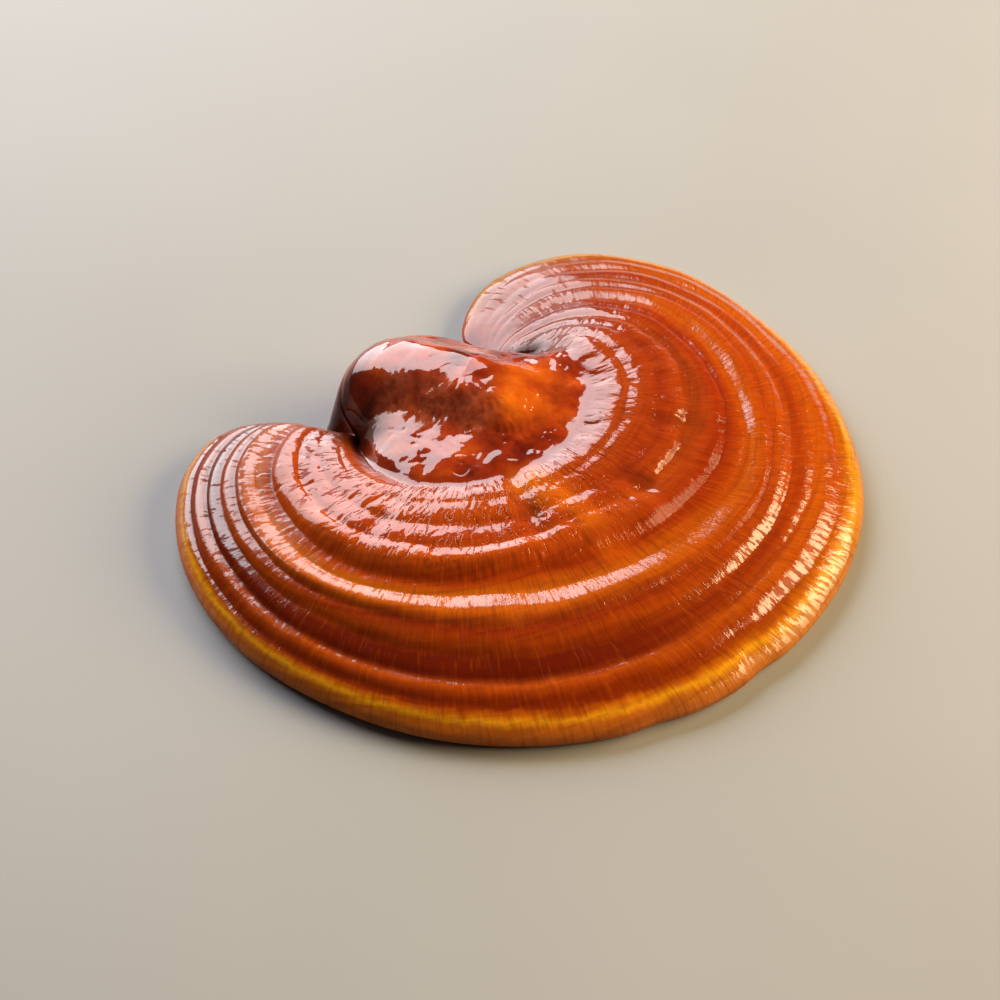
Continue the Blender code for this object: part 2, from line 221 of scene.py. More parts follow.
# Patches of the lacquer: place, radius and share; how sharp their edges are
PATCH_EDGE = 1.5
PATCHES = {
    # orange, on the saddle and in the fold in front of it
    "warm": [(2.5, 10.5, 5.5, 1.0), (8.0, 12.5, 6.0, 0.5), (-9.0, -3.0, 3.5, 0.9),
             (-8.5, -9.0, 3.5, 0.8), (-8.0, -15.0, 3.5, 0.7), (-7.0, -21.0, 3.5, 0.6)],
    # dark, painted shade with a dull coat, on the stem's flank and in the hollow by the right corner of the
    # notch
    "dark": [(-19.0, 30.0, 5.5, 0.9), (-17.0, 38.0, 5.0, 0.9), (14.0, 29.0, 5.0, 0.9),
             (18.0, 25.0, 3.5, 0.8)],
    # rugged, and paler there from a painted sheen, between the knob and the bench below it
    "rugged": [(-13.0, 27.0, 4.5, 1.0), (-9.0, 20.5, 4.5, 1.0), (-5.5, 14.0, 4.0, 1.0)]}

# The studio: half side and greys of the floor, brightness and tint of the surround
FLOOR_SIDE = 2.0
FLOOR_GREYS = (0.36, 0.40)
SURROUND = 0.03
SURROUND_TINT = (0.9, 0.95, 1.0, 1.0)
# Lights: name, azimuth, elevation, distance, width, height, brightness of the face, tint
SOFTBOXES = [("key_light", 168, 30, 0.7, 0.80, 0.68, 6.0, (0.97, 0.97, 1.0)),
             ("warm_light", 50, 29, 0.7, 0.60, 0.34, 13.0, (1.0, 0.75, 0.40))]
# The camera: direction, the point that it looks at, distance, lens and shift of its picture
CAMERA_AZIMUTH, CAMERA_ELEVATION = -45, 46
CAMERA_TARGET = (-5.5, 3.5, 6.0)
CAMERA_DISTANCE = 0.415
CAMERA_LENS = 85.0
CAMERA_SHIFT = (-0.017, -0.008)


def along(points, place):
    """Points of a smooth curve through the given points, at places from 0 to 1 of its length."""
    given = np.array(points, float)
    ends = np.vstack([2 * given[0] - given[1], given, 2 * given[-1] - given[-2]])
    s = np.linspace(0, 1, 24, endpoint=False)[:, None]
    pieces = []
    for i in range(1, len(ends) - 2):
        a, b, c, d = ends[i - 1:i + 3]
        bend = (2 * a - 5 * b + 4 * c - d) + s * (3 * b - a - 3 * c + d)
        pieces.append(b + 0.5 * s * ((c - a) + s * bend))
    line = np.vstack(pieces + [given[-1:]])
    length = np.concatenate([[0], np.cumsum(np.linalg.norm(np.diff(line, axis=0), axis=1))])
    length /= length[-1]
    return np.stack([np.interp(place, length, line[:, 0]), np.interp(place, length, line[:, 1])], -1)


def blend(table, place):
    """Smooth runs of the values in a table whose rows are (place, value, ...)."""
    rows = np.array(table, float)
    places, values = rows[:, 0], rows[:, 1:]
    slopes = np.gradient(values, places, axis=0)
    k = np.clip(np.searchsorted(places, place) - 1, 0, len(places) - 2)
    width = (places[k + 1] - places[k])[:, None]
    s = np.clip((place - places[k])[:, None] / width, 0, 1)
    rise = values[k + 1] - values[k]
    start = slopes[k] * width - rise
    end = rise - slopes[k + 1] * width
    return (values[k] + s * rise + s * (1 - s) * ((1 - s) * start + s * end)).T


def run(t, places, values, slopes):
    """Height at t on a smooth run through values that have given slopes, column by column."""
    out = np.zeros(np.broadcast(t, values[0]).shape)
    for k in range(len(places) - 1):
        width = places[k + 1] - places[k]
        s = np.clip((t - places[k]) / width, 0, 1)
        rise = values[k + 1] - values[k]
        start = slopes[k] * width - rise
        end = rise - slopes[k + 1] * width
        piece = values[k] + s * rise + s * (1 - s) * ((1 - s) * start + s * end)
        out = np.where(t >= places[k], piece, out)
    return out


def smooth(low, high, value):
    """0 below low, 1 above high and an even ramp between."""
    x = np.clip((value - low) / (high - low), 0, 1)
    return x * x * (3 - 2 * x)


def noise(x, y, seed):
    """Smooth noise from about -1 to 1, one swell or dip for each unit of x and y."""
    x, y = np.broadcast_arrays(np.asarray(x, float), np.asarray(y, float))
    cell_x, cell_y = np.floor(x), np.floor(y)
    in_x, in_y = x - cell_x, y - cell_y

    def pull(i, j):
        turn = np.sin((cell_x + i) * 127.1 + (cell_y + j) * 311.7 + seed * 74.7) * 43758.5453
        angle = 2 * math.pi * (turn - np.floor(turn))
        return np.cos(angle) * (in_x - i) + np.sin(angle) * (in_y - j)

    ease_x = in_x ** 3 * (in_x * (in_x * 6 - 15) + 10)
    ease_y = in_y ** 3 * (in_y * (in_y * 6 - 15) + 10)
    near = pull(0, 0) * (1 - ease_x) + pull(1, 0) * ease_x
    far = pull(0, 1) * (1 - ease_x) + pull(1, 1) * ease_x
    return 1.5 * (near * (1 - ease_y) + far * ease_y)


def noises(table, x, y):
    """Sum of the noises in a table of heights, reaches along x and y, and seeds."""
    return sum(high * noise(x / wide, y / long, seed) for high, wide, long, seed in table)


def window(value, begins, ends):
    """1 between two ranges, 0 outside them and even ramps within them."""
    return smooth(*begins, value) * (1 - smooth(*ends, value))


def by_knob(x, y):
    """How far places lie down the knob's line and aside from it, and the length of the line."""
    start, end = np.array(KNOB_LINE)
    length = np.linalg.norm(end - start)
    axis = (end - start) / length
    down = (x - start[0]) * axis[0] + (y - start[1]) * axis[1]
    aside = (y - start[1]) * axis[0] - (x - start[0]) * axis[1]
    return down, aside, length


class Body:
    """The curves and heights of the mushroom at every column."""

    def __init__(self, front_columns, back_columns):
        front = np.linspace(0, 1, front_columns)
        back = np.linspace(0, 1, back_columns + 2)[1:-1]
        self.inner = np.vstack([along(CREASE, front), along(WALL_BROW, back)])
        self.middle = np.vstack([along(RIDGE, front), along(WALL_MIDDLE, back)])
        self.outer = np.vstack([along(MARGIN, front), along(WALL_FOOT, back)])
        for place, wide, depth in NICKS:
            inward = self.middle[:front_columns] - self.outer[:front_columns]
            share = depth * np.exp(-((front - place) / wide) ** 2) / np.linalg.norm(inward, axis=1)
            self.outer[:front_columns] += inward * share[:, None]
        self.heights = np.hstack([blend(CAP_HEIGHTS, front), blend(WALL_HEIGHTS, back)])
        self.place = np.concatenate([front, np.zeros(back_columns)])
        self.width = np.linalg.norm(self.outer - self.inner, axis=1)
        self.full = np.clip(self.width / FULL_WIDTH, 0, 1)
        self.fade = np.sin(math.pi * self.place)
        wave = np.sin(2 * math.pi * (EDGE_WAVES * self.place + EDGE_PHASE))
        self.lift = EDGE_WAVE * (1 + wave) * self.fade ** 0.5
        self.mound_edge = np.hstack([blend(MOUND_EDGE, front), blend(BROW_EDGE, back)])
        behind = np.full(back_columns, CUT_PLACE[0][1])
        self.cut_place = np.concatenate([blend(CUT_PLACE, front)[0], behind])

    def plan(self, t):
        """Places seen from above: 1 is the margin, 0 the crease and -1 the pole of the mound."""
        t = np.asarray(t)[..., None]
        m = RIDGE_PLACE
        cap = np.clip(t, 0, 1)
        on_cap = (self.inner * (cap - m) * (cap - 1) / m + self.middle * cap * (cap - 1) / (m * (m - 1))
                  + self.outer * cap * (cap - m) / (1 - m))
        return on_cap + (np.array(POLE) - self.inner) * np.clip(-t, 0, 1)

    def wander(self, s):
        """The growth rings don't run quite parallel: place on the cap of the ring numbered s."""
        drift = sum(reach * np.sin(2 * math.pi * (waves * self.place + turns * s + phase))
                    for reach, waves, turns, phase in RING_DRIFTS)
        return s + drift * self.fade * 4 * s * (1 - s)

    def change(self, table, number):
        """Noise along the front sector for the zone of this number."""
        reach, waves, seed = table
        return reach * noise(self.place * waves, number, seed)

    def relief(self, s):
        """Swollen growth zones with a narrow groove between each two, a little uneven round the cap."""
        high = np.zeros(np.broadcast(s, self.width).shape)
        crisp = 1 - smooth(*TURN_SOFT, self.place)
        wide, deep = (soft + (sharp - soft) * crisp for sharp, soft in zip(CRISP_GROOVE, SOFT_GROOVE))
        start = 0.0
        for number, (end, swell, groove) in enumerate(ZONES):
            shift = self.change(ZONE_WAVE, number) + self.change(ZONE_RIPPLE, number)
            shift = (shift + end * self.change(ZONE_FRAY, number)) * self.fade
            x = np.clip((s - start - shift) / (end - start), 0, 1) ** ZONE_LEAN
            crown = 1 - np.abs(2 * x - 1) ** ZONE_FULLNESS
            high = high + swell * (1 + self.change(SWELL_CHANGE, number)) * crown
            depth = groove * deep * (1 + self.change(GROOVE_CHANGE, number))
            high = high - depth * np.exp(-((s - end - shift) * self.width / wide) ** 2)
            start = end
        for at, long, rise, place, across in SWELLS:
            high = high + rise * np.exp(-((s - at) / long) ** 2 - ((self.place - place) / across) ** 4)
        for place, across, at, long, depth in FOLDS:
            high = high - depth * np.exp(-((self.place - place) / across) ** 2 - ((s - at) / long) ** 2)
        return high * self.full ** NARROW_POWER * np.minimum(1, self.fade * ZONE_RISE)

    def cap_height(self, s, t):
        """Height of the cap's upper side."""
        crease, shoulder, ridge, rim = self.heights
        first = (ridge - shoulder) / (RIDGE_PLACE - SHOULDER_PLACE)
        second = (rim - ridge) / (1 - RIDGE_PLACE)
        slopes = [CREASE_SLOPE * (shoulder - crease) / SHOULDER_PLACE, SHOULDER_SLOPE * first,
                  (first + second) / 2, RIM_SLOPE * second]
        dome = run(t, [0, SHOULDER_PLACE, RIDGE_PLACE, 1], [crease, shoulder, ridge, rim], slopes)
        sharpness = np.maximum(LEAST_SHARPNESS, EDGE_SHARPNESS * self.full)
        rounding = np.sqrt(np.clip(1 - np.clip(t, 0, 1) ** sharpness, 0, 1))
        edge = EDGE_HEIGHT + self.lift
        return edge + (dome + self.relief(s) - edge) * rounding

    def mound_height(self, q, x, y):
        """Height of the mound at the share q of the way from its pole to the crease."""
        high = BENCH_HEIGHT + BENCH_LEAN * np.clip((x - POLE[0] - y + POLE[1]) / 2, *BENCH_REACH)
        at_x, at_y, wide_x, wide_y, depth = DIP
        high = high - depth * np.exp(-(((x - at_x) / wide_x) ** 2 + ((y - at_y) / wide_y) ** 2) / 2)
        down, aside, length = by_knob(x, y)
        rise = KNOB_RISE[0] + (KNOB_RISE[1] - KNOB_RISE[0]) * np.clip(down / length, 0, 1)
        past = np.maximum(0, down - length) / KNOB_FALL
        high = high + rise * np.exp(-KNOB_STEEPNESS * (aside / KNOB_WIDTH) ** 4 - past ** 2)
        crease = self.heights[0]
        power, fullness = self.mound_edge
        return crease + (high - crease) * (1 - q ** power) ** (1 / fullness)

    def under_height(self, d, x):
        """Height of the underside at d from the margin, at the share x of the way to the cut."""
        edge = np.clip(1 - d / LOWER_EDGE, 0, 1)
        lip = EDGE_HEIGHT * (1 - np.sqrt(1 - edge ** 2))
        inward, power = HOLLOW_ROUNDNESS
        deep = np.clip((self.width - HOLLOW_FROM) / HOLLOW_RUN, 0, 1)
        hollow = UNDER_HOLLOW * deep * np.sin(math.pi * x ** inward) ** power
        return lip + hollow + self.lift * (1 - x)


def cap_relief(body, s):
    """Low swells of the cap, nets of wrinkles near the crease and radial fibres, at the ring s."""
    across = body.place * ACROSS
    outward = np.clip(s, 0, 1) * body.width
    bend = noises(BEND, across, outward)
    on_cap = smooth(*CAP_FROM, s) * np.minimum(1, body.fade * WRINKLE_RISE)
    near = on_cap * (1 - smooth(*NEAR_UNTIL, s))
    far = on_cap * window(s, FAR_FROM, FAR_UNTIL)
    nets = 0.0
    for depth, wide, long, seed in NETS:
        lines = noise((across + bend) / wide, outward / long + NET_TILT * bend, seed)
        breaks = noise(across / NET_BREAKS[0], outward / NET_BREAKS[1], seed + NET_BREAK_SEED)
        nets = nets - depth * smooth(*NET_LEVELS, breaks) * np.exp(-(lines / NET_WIDTH) ** 2)
    fibres = noises(FIBRES, across + bend / 2, outward)
    return noises(CAP_SWELLS, across, outward) * on_cap + nets * near + fibres * (far + near / 2)


def mound_relief(s, x, y):
    """Lumps and pits of the mound, and the dents on the step beside the knob, at the ring s."""
    wide, long, seed = PIT_BREAKS
    breaks = smooth(*PIT_LEVELS, noise(x / wide, y / long, seed))
    depth, wide, long, seed = PITS
    lines = noise((x + noises(PIT_BEND, x, y)) / wide, y / long, seed)
    high = noises(LUMPS, x, y) - depth * breaks * np.exp(-(lines / PIT_WIDTH) ** 2)
    depth, wide, long, seed = STEP_DENTS
    step = window(-by_knob(x, y)[1], STEP_FROM, STEP_UNTIL)
    high = high - depth * step * np.abs(noise((x + y) / wide, (x - y) / long, seed))
    return high * (1 - smooth(*MOUND_UNTIL, s))


def body_rows():
    """Rows of points from the crown of the mound to the edge of the stem's cut, with their ring numbers."""
    body = Body(FRONT_COLUMNS, BACK_COLUMNS)
    count = len(body.width)
    rows, rings = [], []

    for i in range(1, MOUND_ROWS + 1):
        q = 1 - (1 - i / MOUND_ROWS) ** MOUND_SPACING
        place = body.plan(np.full(count, q - 1))
        rows.append(np.column_stack([place, body.mound_height(q, place[:, 0], place[:, 1])]))
        rings.append(np.full(count, q - 1))

    steps = np.arange(1, MARGIN_ROWS + 1) / MARGIN_ROWS
    cap = np.concatenate([MARGIN_BAND * np.arange(1, CAP_ROWS + 1) / CAP_ROWS,
                          MARGIN_BAND + (1 - MARGIN_BAND) * (1 - (1 - steps) ** MARGIN_SPACING)])
    for s in cap:
        t = body.wander(s)
        rows.append(np.column_stack([body.plan(t), body.cap_height(s, t)]))
        rings.append(np.full(count, s))

    reach = np.linalg.norm(body.outer - body.middle, axis=1) / (1 - RIDGE_PLACE)
    lip = np.minimum(LOWER_EDGE, LIP_SHARE * reach)
    for i in range(1, LIP_ROWS + 1):
        part = 1 - math.cos(0.5 * math.pi * i / LIP_ROWS)
        t = 1 - part * lip / reach
        height = body.under_height(np.full(count, part * LOWER_EDGE), 0.0)
        rows.append(np.column_stack([body.plan(t), height]))
        rings.append(np.full(count, 1 + (LIP_RING - 1) * part))
    start = 1 - lip / reach
    for i in range(1, UNDER_ROWS + 1):
        x = i / UNDER_ROWS
        t = start + (body.cut_place - start) * x
        rows.append(np.column_stack([body.plan(t), body.under_height(np.full(count, LOWER_EDGE), x)]))
        rings.append(np.full(count, LIP_RING + (CUT_RING - LIP_RING) * x))
    return body, np.array(rows), np.array(rings)


def soften(points, rings):
    """Rounds the crease between the mound and the cap."""
    near = 0.5 * np.exp(-(rings / FILLET) ** 2)[..., None]
    for _ in range(FILLET_PASSES):
        between = (np.roll(points, 1, axis=0) + np.roll(points, -1, axis=0)) / 2
        points = points + near * (between - points)
    return points


def row_normals(points):
    """Directions that stand on the rows of points, pointing out of the body."""
    across = np.roll(points, -1, axis=1) - np.roll(points, 1, axis=1)
    down = np.gradient(points, axis=0)
    out = np.cross(down, across)
    return out / np.maximum(np.linalg.norm(out, axis=2), 1e-9)[..., None]


def column_steps(rings):
    """How many columns each row of points skips: more towards the pole, and some below."""
    steps = [1] * len(rings)
    for i, ring in enumerate(rings):
        for inside, each in THINNED:
            if ring < inside:
                steps[i] = each
        if i > len(rings) - UNDER_ROWS:
            steps[i] = UNDER_STEP
    return steps


def body_faces(steps, number):
    """Faces between the rows of numbered points, with the row that each hangs from; the last is the cut."""
    rows, count = number.shape
    faces = [(0, number[0, j], number[0, (j + steps[0]) % count]) for j in range(0, count, steps[0])]
    upper = [0] * len(faces)
    for i in range(rows - 1):
        a, b = steps[i], steps[i + 1]
        for j in range(0, count, max(a, b)):
            k, m = (j + max(a, b)) % count, j + min(a, b)
            above, below = number[i], number[i + 1]
            if a == b:
                faces.append((above[j], below[j], below[k], above[k]))
            elif a > b:
                faces += [(above[j], below[j], below[m]), (above[j], below[m], above[k]),
                          (above[k], below[m], below[k])]
            else:
                faces += [(above[j], below[j], above[m]), (above[m], below[j], below[k]),
                          (above[m], below[k], above[k])]
        upper += [i] * (len(faces) - len(upper))
    faces.append(tuple(number[-1, j] for j in range(0, count, steps[-1]))[::-1])
    return faces, upper


def measures(body, points, rings, normals):
    """What the materials read at every point, as values at the pole and at the rows of points."""
    flat = np.zeros(len(body.place))
    growth = np.stack([np.tile(body.place * ACROSS, (len(rings), 1)), rings * body.width, rings], -1)
    relief = np.array([body.relief(r) if 0 <= r <= 1 else flat for r in rings[:, 0]])
    back = np.arange(len(flat)) >= FRONT_COLUMNS
    corner = np.where(back, 1.0, 1 - smooth(*CORNER_FADE, np.minimum(body.place, 1 - body.place)))
    stem = np.array([np.maximum(corner, 1 - smooth(*STEM_FADE, r)) for r in rings[:, 0]])

    outward = body.outer - body.inner
    outward /= np.linalg.norm(outward, axis=1)[:, None]
    lean = normals[..., 0] * outward[:, 0] + normals[..., 1] * outward[:, 1]
    leans, begins, ends, places = STEEP_LEFT
    left = smooth(*leans, lean) * window(rings, begins, ends) * (1 - smooth(*places, body.place))
    leans, begins, ends, places = STEEP_RIGHT
    right = smooth(*leans, lean) * window(rings, begins, ends) * smooth(*places, body.place)
    steep = np.maximum(left * (1 - corner), right)

    found = {"growth": ([0.0, -40.0, -1.0], growth), "relief": ([0.0], relief), "stem": ([1.0], stem),
             "steep": ([0.0], steep)}
    for name, patches in PATCHES.items():
        strength = np.zeros(rings.shape)
        for at_x, at_y, wide, share in patches:
            off = (points[..., 0] - at_x) ** 2 + (points[..., 1] - at_y) ** 2
            strength = np.maximum(strength, share * np.exp(-(off / wide ** 2) ** PATCH_EDGE))
        found[name] = ([0.0], strength)
    return found


def fruit_mesh(name):
    """The whole fruit body as one closed mesh, with the measures that its materials read."""
    body, points, rings = body_rows()
    pole = np.array([POLE])
    crown = np.column_stack([pole, body.mound_height(0.0, pole[:, 0], pole[:, 1])[:1]])
    plan = points[..., :2].reshape(-1, 2)
    centre = (plan.min(axis=0) + plan.max(axis=0)) / 2

    points = soften(points, rings)
    normals = row_normals(points)
    for k in np.nonzero(rings[:, 0] <= 1.0)[0]:
        s = rings[k, 0]
        high = cap_relief(body, s) + mound_relief(s, points[k, :, 0], points[k, :, 1])
        calm = smooth(*POLE_CALM, s) * (1 - smooth(*RIM_CALM, s))
        points[k] += normals[k] * (high * calm)[:, None]

    steps = column_steps(rings[:, 0])
    kept = np.array([np.arange(len(body.place)) % each == 0 for each in steps])
    number = np.cumsum(kept.reshape(-1)).reshape(kept.shape)
    faces, upper = body_faces(steps, number)
    verts = np.vstack([crown, points[kept]])
    verts[:, :2] -= centre

    mesh = bpy.data.meshes.new(name)
    mesh.from_pydata((verts * MM).tolist(), [], [tuple(int(v) for v in face) for face in faces])
    mesh.validate()
    for measure, (at_pole, values) in measures(body, points, rings, normals).items():
        kind, field = ("FLOAT", "value") if len(at_pole) == 1 else ("FLOAT_VECTOR", "vector")
        layer = mesh.attributes.new(measure, kind, "POINT")
        layer.data.foreach_set(field, np.concatenate([at_pole, values[kept].ravel()]).astype(np.float32))

    # Slots: the lacquer above, the pores below and the cut, which is flat
    slots = [int(rings[i, 0] > PORE_RING) for i in upper] + [2]
    mesh.polygons.foreach_set("material_index", np.array(slots, np.int32))
    mesh.polygons.foreach_set("use_smooth", [True] * (len(faces) - 1) + [False])
    mesh.update()
    return mesh, centre


class Nodes:
    """Short ways to put down the nodes of one material."""

    def __init__(self, name):
        self.material = bpy.data.materials.new(name)
        self.material.use_nodes = True
        self.tree = self.material.node_tree
        self.shader = self.tree.nodes["Principled BSDF"]

    def put(self, kind, inputs, **settings):
        node = self.tree.nodes.new(kind)
        for name, value in settings.items():
            setattr(node, name, value)
        for key, value in inputs.items():
            self.feed(node.inputs[key], value)
        return node.outputs

    def feed(self, socket, value):
        if isinstance(value, bpy.types.NodeSocket):
            self.tree.links.new(value, socket)
        else:
            socket.default_value = value

    def shade(self, **inputs):
        """Links values to the shader's sockets, whose names have underscores here."""
        for name, value in inputs.items():
            self.feed(self.shader.inputs[name.replace("_", " ")], value)

    def work(self, kind, first, *others, clamp=False):
        """One kind of sum worked from left to right over all the values, two at a time."""
        for other in others:
            first = self.put("ShaderNodeMath", {0: first, 1: other}, operation=kind, use_clamp=clamp)[0]
        return first

    def plus(self, *values, clamp=False):
        return self.work("ADD", *values, clamp=clamp)

    def minus(self, a, b):
        return self.work("SUBTRACT", a, b)

    def times(self, *values):
        return self.work("MULTIPLY", *values)

    def most(self, *values):
        return self.work("MAXIMUM", *values)

    def apart(self, a, b):
        """How far apart two values are."""
        return self.put("ShaderNodeMath", {0: self.minus(a, b)}, operation="ABSOLUTE")[0]

    def attribute(self, name, part):
        return self.put("ShaderNodeAttribute", {}, attribute_name=name)[part]

    def places(self):
        return self.put("ShaderNodeTexCoord", {})["Object"]

    def split(self, vector):
        return self.put("ShaderNodeSeparateXYZ", {"Vector": vector})

    def stretched(self, vector, scale, shift=(0.0, 0.0, 0.0)):
        return self.put("ShaderNodeMapping", {"Vector": vector, "Scale": scale, "Location": shift})[0]

    def noise(self, vector, scale=1.0, detail=2.0, rough=0.5, warp=0.0):
        return self.put("ShaderNodeTexNoise", {"Vector": vector, "Scale": scale, "Detail": detail,
                                               "Roughness": rough, "Distortion": warp})["Fac"]

    def cell_edges(self, vector, scale):
        """Distance to the nearest edge between cells."""
        return self.put("ShaderNodeTexVoronoi", {"Vector": vector, "Scale": scale},
                        feature="DISTANCE_TO_EDGE")[0]

    def warped(self, vector, scale, reach):
        """The same places moved about by up to half the reach, in swirls of the given scale."""
        swirl = self.put("ShaderNodeTexNoise", {"Vector": vector, "Scale": scale})["Color"]
        offset = self.put("ShaderNodeVectorMath", {0: swirl, 1: (0.5, 0.5, 0.5)}, operation="SUBTRACT")[0]
        return self.put("ShaderNodeVectorMath", {0: offset, 1: (reach,) * 3, 2: vector},
                        operation="MULTIPLY_ADD")[0]

    def ramp(self, value, stops):
        node = self.tree.nodes.new("ShaderNodeValToRGB")
        elements = node.color_ramp.elements
        while len(elements) < len(stops):
            elements.new(0.5)
        for element, (place, _) in zip(elements, stops):
            element.position = place
        for element, (_, tint) in zip(elements, stops):
            element.color = tint
        self.feed(node.inputs[0], value)
        return node.outputs[0]

    def level(self, value, start, end, low=0.0, high=1.0):
        """A smooth run from low, where the value is at start, to high, where it is at end."""
        return self.put("ShaderNodeMapRange", {"Value": value, "From Min": start, "From Max": end,
                                               "To Min": low, "To Max": high},
                        interpolation_type="SMOOTHSTEP")[0]

    def mix(self, share, a, b):
        node = self.tree.nodes.new("ShaderNodeMix")
        node.data_type = "RGBA"
        for socket, value in ((0, share), (6, a), (7, b)):
            self.feed(node.inputs[socket], value)
        return node.outputs[2]

    def bump(self, height, strength, distance):
        return self.put("ShaderNodeBump", {"Height": height, "Strength": strength, "Distance": distance})[0]


def grey(value):
    return (value, value, value, 1.0)


def colour(red, green, blue):
    """A colour given as it looks on screen, from 0 to 255."""
    parts = [v / 255 for v in (red, green, blue)]
    return tuple(v / 12.92 if v <= 0.04045 else ((v + 0.055) / 1.055) ** 2.4 for v in parts) + (1.0,)


# Lacquer colours from the crease to the margin: on the front, darker partly as painted shade, and on the
# brighter, more orange right lobe
SHADED_FRONT_RINGS = [(0.0, colour(150, 48, 14)), (0.10, colour(196, 84, 20)), (0.20, colour(196, 78, 14)),
              (0.30, colour(184, 66, 12)), (0.36, colour(208, 90, 18)), (0.42, colour(204, 82, 16)),
              (0.475, colour(190, 68, 14)), (0.52, colour(214, 108, 18)), (0.60, colour(210, 100, 16)),
              (0.655, colour(150, 46, 11)), (0.70, colour(182, 72, 12)), (0.75, colour(112, 30, 9)),
              (0.80, colour(120, 33, 9)), (0.84, colour(190, 80, 12)), (0.885, colour(150, 50, 8)),
              (0.915, colour(140, 46, 7)), (0.935, colour(208, 104, 12)), (0.953, colour(255, 172, 26)),
              (0.972, colour(214, 116, 28)), (1.0, colour(198, 110, 46))]
RIGHT_LOBE_RINGS = [(0.0, colour(150, 46, 12)), (0.12, colour(190, 76, 16)), (0.24, colour(172, 56, 10)),
               (0.34, colour(196, 80, 14)), (0.42, colour(172, 54, 8)), (0.48, colour(176, 58, 8)),
               (0.56, colour(212, 98, 12)), (0.64, colour(188, 70, 8)), (0.70, colour(206, 88, 8)),
               (0.76, colour(180, 62, 8)), (0.83, colour(214, 98, 10)), (0.90, colour(200, 84, 8)),
               (0.935, colour(222, 124, 12)), (0.955, colour(255, 176, 26)), (1.0, colour(214, 140, 64))]
# Colours laid over the rings
# a darker tone over the whole cap, and on the right lobe more of it as painted shade against the warm light
TONE_AND_RIGHT_SHADE = colour(80, 22, 6)
# painted shade: darker lacquer under the key light's glare on the left and back lobes
PAINTED_SHADE_UNDER_GLARE = colour(92, 24, 8)
FINE_LINE = colour(104, 24, 6)
FIBRE_DARK = colour(104, 28, 6)
FIBRE_LIGHT = colour(236, 128, 20)
GROOVE = colour(84, 18, 5)
SLIT = colour(140, 44, 12)
# Colours of the stem's lacquer and of the patches
STEM_STOPS = [(0.34, colour(104, 26, 8)), (0.52, colour(156, 48, 11)), (0.70, colour(190, 78, 16))]
STEM_DARK = colour(66, 15, 6)
WARM_STOPS = [(0.35, colour(196, 76, 12)), (0.65, colour(236, 122, 18))]
# painted sheen: the pale pinkish tone of soft reflections on the step's wrinkles
PAINTED_SHEEN = colour(190, 92, 56)
# painted shade on the stem's flank and in the hollow by the right corner of the notch
SHADOWED = colour(30, 8, 4)
# Colours of the pore layer and of the cut
PORE_STOPS = [(0.30, colour(150, 104, 62)), (0.5, colour(188, 142, 92)), (0.70, colour(214, 176, 126))]
PORE_HOLE = colour(104, 62, 32)
PORE_RIM = colour(186, 120, 62)
CUT_STOPS = [(0.30, colour(92, 52, 26)), (0.52, colour(150, 96, 54)), (0.72, colour(190, 140, 92))]
CUT_STAIN = colour(96, 50, 26)

# Patterns along the growth: cells for each millimetre round and outwards, shift, detail, roughness, warp
PATTERNS = {"drift": ((0.16, 0.25), (0.0, 0.0, 0.0), 3.0, 0.55, 0.0),
            "streak": ((1.1, 0.13), (3.0, 0.0, 0.0), 4.0, 0.6, 0.3),
            "lines": ((0.05, 0.9), (0.0, 7.0, 0.0), 3.0, 0.55, 0.0),
            "fibres": ((2.2, 0.22), (0.0, 0.0, 3.0), 4.0, 0.6, 0.4),
            "gaps": ((0.5, 0.4), (5.0, 2.0, 0.0), 3.0, 0.6, 0.0),
            "frayed": ((1.9, 0.42), (8.0, 1.0, 0.0), 3.0, 0.6, 0.25),
            "strokes": ((1.5, 0.26), (2.0, 9.0, 0.0), 2.5, 0.6, 0.2),
            "fine": ((4.5, 0.5), (0.0, 5.0, 0.0), 3.0, 0.6, 0.3)}
# The slits between cells of the lacquer: cells for each millimetre round and outwards
SLIT_CELLS = (0.66, 0.17, 0.0)
# The bright line along the crown of the bold ridge stays whole: its ring number
WHOLE_RING = 0.563


